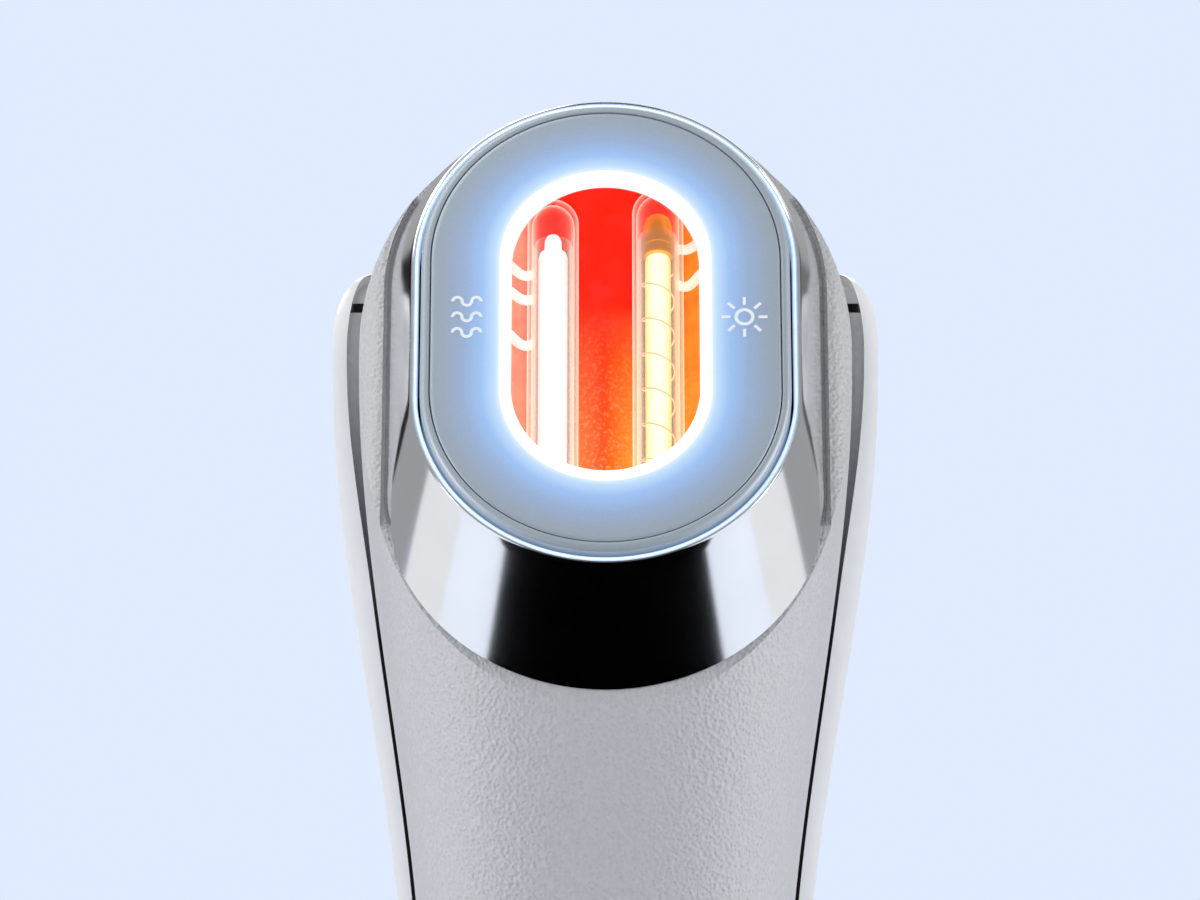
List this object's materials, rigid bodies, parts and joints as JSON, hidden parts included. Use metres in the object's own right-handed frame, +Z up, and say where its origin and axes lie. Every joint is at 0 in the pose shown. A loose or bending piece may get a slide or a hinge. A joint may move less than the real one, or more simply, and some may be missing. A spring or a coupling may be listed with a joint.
{
  "type": "pulsed light hair remover",
  "caption": "Handheld light hair remover: grained shell with tilted lit window, chrome collar, sprung skin plate, lamps, fan and rear buttons.",
  "frame": {"origin": "centre of the end cap's flat base, on which the remover stands", "axes": "+Z up along the grip, -Y towards the skin side, +X to the right as seen from the skin side"},
  "size_m": [0.046, 0.0436, 0.1851],
  "materials": {
    "shell_silver": "fine leather-grained silver paint",
    "shell_white": "gloss white",
    "seam_dark": "matt dark",
    "collar_chrome": "mirror plated",
    "halo_clear": "translucent light guide",
    "plate_satin": "satin blue grey",
    "glow_clear": "translucent light guide",
    "window_clear": "polished clear",
    "mark_ink": "printed pale grey",
    "board_green": "solder mask",
    "led_cream": "moulded cream",
    "frame_dark": "moulded dark grey",
    "stem_red": "moulded red",
    "spring_steel": "bright wire",
    "screw_steel": "zinc plated",
    "part_black": "moulded black",
    "reflector_red": "red orange heat coating with speckle",
    "holder_ceramic": "fired ceramic",
    "lead_white": "insulated lead",
    "bulb_clear": "quartz glass",
    "infrared_hot": "glowing quartz core",
    "flash_hot": "glowing discharge tube",
    "electrode_amber": "heat-tinted metal",
    "trigger_metal": "fine wire",
    "sink_metal": "extruded",
    "can_metal": "drawn can",
    "sleeve_black": "shrink sleeve",
    "ferrite_grey": "sintered ferrite",
    "coil_tape": "amber winding tape",
    "copper_wire": "enamelled winding",
    "button_silver": "satin silver",
    "cap_white": "gloss white",
    "pipe_clear": "frosted clear",
    "pin_nickel": "nickel plated",
    "contact_gold": "gold flashed"
  },
  "bodies": {
    "housing": {"front_shell": "shell_silver", "rear_shell": "shell_white", "seam_gasket": "seam_dark", "chrome_collar": "collar_chrome", "halo_guide": "halo_clear", "contact_springs": "spring_steel", "contact_switches": "part_black", "head_frame": "frame_dark", "frame_screws": "screw_steel", "reflector": "reflector_red", "lamp_holder": "holder_ceramic", "lamp_leads": "lead_white", "infrared_lamp": "bulb_clear", "infrared_filament": "infrared_hot", "flash_lamp": "bulb_clear", "flash_tube": "flash_hot", "lamp_electrodes": "electrode_amber", "trigger_wire": "trigger_metal", "heat_sink": "sink_metal", "sink_screws": "screw_steel", "fan_frame": "part_black", "fan_screws": "screw_steel", "chassis": "frame_dark", "main_board": "board_green", "board_screws": "screw_steel", "control_chips": "part_black", "storage_capacitor": "can_metal", "capacitor_sleeve": "sleeve_black", "transformer_core": "ferrite_grey", "transformer_coil": "coil_tape", "trigger_coil": "part_black", "choke": "copper_wire", "key_board": "board_green", "key_switches": "part_black", "level_leds": "led_cream", "level_pipes": "pipe_clear", "end_cap": "cap_white", "cap_screws": "screw_steel", "power_socket": "part_black", "socket_pin": "pin_nickel", "socket_contacts": "contact_gold"},
    "skin_plate": {"contact_plate": "plate_satin", "plate_rim": "plate_satin", "glow_ring": "glow_clear", "window_glass": "window_clear", "heat_mark": "mark_ink", "light_mark": "mark_ink", "ring_board": "board_green", "ring_leds": "led_cream", "plate_carrier": "frame_dark", "switch_stems": "stem_red"},
    "fan": {"fan_rotor": "part_black"},
    "flash_key": {"flash_button": "button_silver", "flash_stem": "stem_red"},
    "power_key": {"power_button": "button_silver", "power_stem": "stem_red"}
  },
  "joints": [
    {"name": "plate_press", "type": "slide", "parent": "housing", "child": "skin_plate", "axis": [0, 0.8616, -0.5075], "range_m": [0, 0.0006], "stiffness_N_per_m": 900, "springref_m": -0.0004, "deforming": ["contact_springs"]},
    {"name": "fan_spin", "type": "hinge", "parent": "housing", "child": "fan", "pos_m": [0, 0.00436, 0.14803], "axis": [0, -0.8616, 0.5075], "continuous": true},
    {"name": "flash_press", "type": "slide", "parent": "housing", "child": "flash_key", "axis": [0, -1, 0], "range_m": [0, 0.0006], "stiffness_N_per_m": 1500, "springref_m": -0.0006},
    {"name": "power_press", "type": "slide", "parent": "housing", "child": "power_key", "axis": [0, -1, 0], "range_m": [0, 0.0005], "stiffness_N_per_m": 1200, "springref_m": -0.0005}
  ]
}
